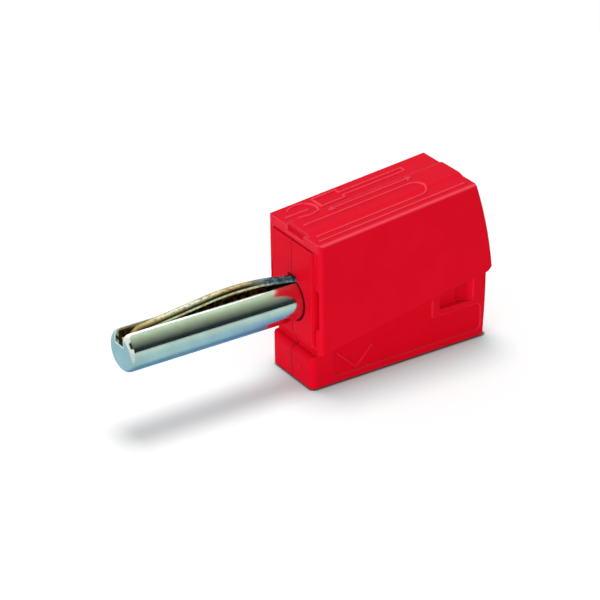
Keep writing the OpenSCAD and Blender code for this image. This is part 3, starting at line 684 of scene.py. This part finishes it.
def topRelief(marks):
    lay = dropOn("press_lever", 2, cadHigh.z + outside)
    shape = marks["ridge"]
    mesh = bmesh.new()
    ridge(mesh, arc(**marks["ring"]), lay, shape)
    ridge(mesh, list(marks["lead"]), lay, shape)
    ridge(mesh, list(marks["wire"]), lay, shape, closed=True)
    y, head = marks["arrowY"], marks["arrowHead"]
    ridge(mesh, [(marks["arrowFrom"], y), (marks["arrowTo"], y)], lay, shape)
    for tip, way in ((marks["arrowFrom"], 1), (marks["arrowTo"], -1)):
        barb = tip + way * head
        ridge(mesh, [(barb, y + head / 2), (tip, y), (barb, y - head / 2)], lay, shape)
    low, high = marks["padLow"], marks["padHigh"]
    bend = arc((marks["padTo"], (low + high) / 2), (high - low) / 2, 90, -90, marks["padSteps"])
    ridge(mesh, [(marks["padFrom"], high)] + bend + [(marks["padFrom"], low)], lay, shape)
    ridge(mesh, [(marks["lineFrom"], marks["lineY"]), (marks["lineTo"], marks["lineY"])], lay, shape)
    bmesh.ops.recalc_face_normals(mesh, faces=mesh.faces)
    newPiece("top_marks", mesh, ridgePlastic, "lever")


topRelief(topMarks)


# an arrow on each side panel, and the moulding gate on the base's front
sideMarks = {
    "ridge": {"width": 0.25, "height": 0.08, "sink": 0.03, "step": 0.2},
    "arrow": ((2.65, -4.95), (4.72, -7.0), (6.55, -5.1)),
    "gate": {"centre": (-0.85, -6.4), "radius": 0.42, "start": 0, "end": 360, "steps": 32},
}


def sideRelief(marks):
    mesh = bmesh.new()
    for side, name in ((-1, "right_half_shell"), (1, "left_half_shell")):
        lay = dropOn(name, 1, side * (cadHigh.y + outside))
        ridge(mesh, list(marks["arrow"]), lay, marks["ridge"])
    ring = arc(**marks["gate"])[:-1]
    ridge(mesh, ring, dropOn("right_half_shell", 0, -outside), marks["ridge"], closed=True)
    bmesh.ops.recalc_face_normals(mesh, faces=mesh.faces)
    newPiece("housing_marks", mesh, markPlastic, "housing")


sideRelief(sideMarks)
print("raised marks made")


# studio: masks for what the camera sees directly, and for what metal or glass shows it
def rayMasks(link):
    direct, glossy, clear = (link.node("LightPath", {}, {}, out=name) for name in
                             ("Is Camera Ray", "Is Glossy Ray", "Is Transmission Ray"))
    return direct, link.largest(glossy, clear)


floorLook = {
    "half": 1.5, "cells": 4,      # metres
    "tone": (0.96, 0.96, 0.96), "seen": 1.2,
    # near the red housing the floor is painted less red, against the red light the housing throws on it, so that
    # its shadow stays grey
    "redWall": 9.0, "redNear": 0.05, "redShare": 0.62, "redFall": 1.3,
    "redWeights": (1.0, 0.4, 0.85, 0.4),    # right, left, front, rear
    # painted contact shadow: a dark line where the housing stands
    "seamFrom": -0.12, "seamTo": 0.16, "contactShadowTone": 0.12, "seamRound": 0.6,
    # what the metal shows of the floor, across the pin from the camera's side to the far side
    "mirrorFrom": -40.0, "mirrorTo": 8.0,
    "mirrorTones": [(0.0, (0.66, 0.91, 0.86)), (0.5, (0.49, 0.79, 0.76)), (0.7, (0.44, 0.75, 0.79)),
                    (0.79, (0.34, 0.66, 0.77)), (0.85, (0.18, 0.48, 0.72)), (0.89, (0.09, 0.31, 0.68)),
                    (1.0, (0.42, 0.71, 0.80))],
    # bluer towards the housing, on the far side
    "blue": (0.16, 0.46, 0.92), "blueFrom": -10.0, "blueTo": 3.0, "blueShare": 0.75,
    "acrossFrom": 0.5, "acrossTo": 0.72,
    # in front of the tip, from the near side of the pin's shadow to the far side
    "tipPale": (0.88, 0.96, 0.97), "tipCool": (0.42, 0.71, 0.80), "tipNear": -10.0, "tipFar": -5.0,
    "tipGap": 0.5, "tipFade": 1.0,
}


# the share of a floor point's sky that an upright wall takes up, given how far in front of it the point lies
def wallShare(link, look, away, oneEnd, otherEnd):
    apart = link.largest(away, look["redNear"])
    lean = apart / (apart * apart + look["redWall"] ** 2) ** 0.5
    foot = link.math("ARCTANGENT", otherEnd / apart) - link.math("ARCTANGENT", oneEnd / apart)
    brow = link.math("ARCTANGENT", otherEnd / apart * lean) - link.math("ARCTANGENT", oneEnd / apart * lean)
    return (foot - lean * brow) / math.pi * link.math("GREATER_THAN", away, 0.0)


# what the camera sees of the floor around the housing's foot, which has rounded corners: a painted contact shadow
# at the foot, and less red near the housing
def floorSeen(link, look, x, y):
    low, high = (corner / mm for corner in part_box("left_half_shell"))
    half = high.y
    walls = [(-half - y, low.x - x, high.x - x), (y - half, low.x - x, high.x - x),
             (low.x - x, -half - y, half - y), (x - high.x, -half - y, half - y)]
    red = sum(wallShare(link, look, *wall) * weight for wall, weight in zip(walls, look["redWeights"]))
    corner = look["seamRound"]
    right, left, front, rear = (wall[0] for wall in walls)
    pastSide = link.largest(right, left, -corner) + corner
    pastEnd = link.largest(front, rear, -corner) + corner
    past = (pastSide * pastSide + pastEnd * pastEnd) ** 0.5 - corner
    # painted contact shadow along the housing's foot
    plain = past.spread(look["seamFrom"], look["seamTo"], look["contactShadowTone"], 1.0) * look["seen"]
    # painted less red where the housing's red light falls
    lessRed = plain / (1 + red ** look["redFall"] * look["redShare"])
    return link.node("CombineColor", {}, {"Red": lessRed, "Green": plain, "Blue": plain})


def floorMirrored(link, look, x, y):
    across = y.spread(look["mirrorFrom"], look["mirrorTo"])
    shown = link.node("ValToRGB", {"stops": look["mirrorTones"]}, {"Fac": across})
    blue = x.spread(look["blueFrom"], look["blueTo"]) * across.spread(look["acrossFrom"], look["acrossTo"])
    shown = link.mixColour(blue * look["blueShare"], shown, look["blue"])
    ahead = (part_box("contact_pin")[0].x / mm - x).rise(look["tipGap"], look["tipFade"])
    byTip = link.mixColour(y.spread(look["tipNear"], look["tipFar"]), look["tipPale"], look["tipCool"])
    return link.mixColour(ahead, shown, byTip)


def studioFloor(look):
    material, link = newFinish("studioFloor")
    x, y, _ = link.axes(link.place())
    direct, mirrored = rayMasks(link)
    tone = link.mixColour(direct, look["tone"], floorSeen(link, look, x, y))
    tone = link.mixColour(mirrored, tone, floorMirrored(link, look, x, y))
    shader = link.node("BsdfDiffuse", {}, {"Color": tone})
    link.node("OutputMaterial", {}, {"Surface": shader})
    mesh = bmesh.new()
    bmesh.ops.create_grid(mesh, x_segments=look["cells"], y_segments=look["cells"], size=look["half"])
    bmesh.ops.translate(mesh, verts=mesh.verts, vec=(0, 0, cadLow.z))
    floor = meshObject("studio_floor", mesh)
    floor.data.materials.append(material)


# curved screens on the camera's side that only the metal's reflections show: metres, degrees above the
# floor, and tones from the lower edge up
mainScreen = {
    "radius": 0.7, "low": 1.5, "high": 118.0, "from": -0.05, "to": 0.85, "steps": 48,
    "tones": [(0.0, (0.004, 0.010, 0.016)), (0.16, (0.025, 0.040, 0.041)), (0.35, (0.20, 0.25, 0.19)),
              (0.54, (0.41, 0.51, 0.35)), (0.73, (0.66, 0.85, 0.63)), (0.8, (0.72, 0.88, 0.68)),
              (0.86, (1.2, 1.2, 1.15))],
}
tipScreen = {
    "radius": 0.7, "low": 20.0, "high": 64.0, "from": -0.9, "to": -0.06, "steps": 12,
    "tones": [(0.0, (0.9, 0.9, 0.9)), (0.15, (0.02, 0.03, 0.03)), (0.85, (0.02, 0.03, 0.03)),
              (1.0, (0.9, 0.9, 0.9))],
}


def darkScreen(name, look):
    material, link = newFinish(name)
    along = link.axes(link.node("TexCoord", {}, {}, out="UV"))[1]
    tone = link.node("ValToRGB", {"stops": look["tones"]}, {"Fac": along})
    shader = link.node("Emission", {}, {"Color": tone, "Strength": 1.0})
    link.node("OutputMaterial", {}, {"Surface": shader})
    mesh = bmesh.new()
    uv = mesh.loops.layers.uv.new("UVMap")
    rows = []
    for k in range(look["steps"] + 1):
        share = k / look["steps"]
        angle = math.radians(look["low"] + (look["high"] - look["low"]) * share)
        y, z = -look["radius"] * math.cos(angle), look["radius"] * math.sin(angle)
        rows.append([(mesh.verts.new((x, y, z)), share) for x in (look["from"], look["to"])])
    for one, two in zip(rows, rows[1:]):
        corners = [one[0], one[1], two[1], two[0]]
        face = mesh.faces.new([v for v, _ in corners])
        for loop, (_, share) in zip(face.loops, corners):
            loop[uv].uv = (0, share)
    screen = meshObject(name, mesh)
    screen.data.materials.append(material)
    screen.visible_camera = False
    screen.visible_diffuse = False
    screen.visible_shadow = False
    screen.visible_transmission = False


# white air, which lights the part less than it shows
airLook = {"fill": 0.33, "white": (1.0, 1.0, 1.0), "mirrored": (0.95, 1.0, 0.93)}


def studioAir(look):
    world = bpy.data.worlds.new("studioAir")
    bpy.context.scene.world = world
    world.use_nodes = True
    world.node_tree.nodes.clear()
    link = Link(world.node_tree)
    direct, mirrored = rayMasks(link)
    tone = link.mixColour(mirrored, look["white"], look["mirrored"])
    strength = look["fill"] + link.largest(direct, mirrored) * (1 - look["fill"])
    shader = link.node("Background", {}, {"Color": tone, "Strength": strength})
    link.node("OutputWorld", {}, {"Surface": shader})


# metres and watts; a lamp without a shadow isn't mirrored either
lamps = {
    "ceilingBox": {"place": (0.02, 0.06, 0.45), "size": 0.2, "power": 0.86, "shadow": True},
    "fillBox": {"place": (-0.66, -0.42, 0.25), "size": 0.8, "power": 4.4, "shadow": False},
}


def softBox(name, place, size, power, shadow):
    data = bpy.data.lights.new(name, "AREA")
    data.shape = "DISK"
    data.size = size
    data.energy = power
    data.use_shadow = shadow
    lamp = addToScene(name, data)
    lamp.location = place
    lamp.rotation_mode = "QUATERNION"
    lamp.rotation_quaternion = Vector(place).to_track_quat("Z", "Y")
    lamp.visible_glossy = shadow


bpy.context.scene.view_settings.view_transform = "Standard"
studioFloor(floorLook)
darkScreen("mainScreen", mainScreen)
darkScreen("tipScreen", tipScreen)
studioAir(airLook)
for lampName, lampLook in lamps.items():
    softBox(lampName, **lampLook)


# camera at the photograph's viewing angle
cameraSet = {
    "azimuth": -32.14, "elevation": 27.81, "roll": -0.983,   # degrees
    "acrossMm": -0.706, "upMm": 0.176, "distanceMm": 231.826, "clipMm": 10.0,
    "focalPx": 2583.49, "imagePx": 600, "sensorMm": 36.0,
}


def placeCamera(view):
    a, e, r = (math.radians(view[k]) for k in ("azimuth", "elevation", "roll"))
    back = Vector((math.sin(a) * math.cos(e), -math.cos(a) * math.cos(e), math.sin(e)))
    level = Vector((math.cos(a), math.sin(a), 0))
    upright = back.cross(level)
    right = math.cos(r) * level + math.sin(r) * upright
    up = -math.sin(r) * level + math.cos(r) * upright
    data = bpy.data.cameras.new("photoCamera")
    data.sensor_width = view["sensorMm"]
    data.lens = view["focalPx"] * view["sensorMm"] / view["imagePx"]
    data.clip_start = view["clipMm"] * mm
    camera = addToScene("photoCamera", data)
    spot = (back * view["distanceMm"] - right * view["acrossMm"] - up * view["upMm"]) * mm
    turn = Matrix((right, up, back)).transposed().to_4x4()
    camera.matrix_world = Matrix.Translation(spot) @ turn
    bpy.context.scene.camera = camera


placeCamera(cameraSet)
print("studio and camera set")
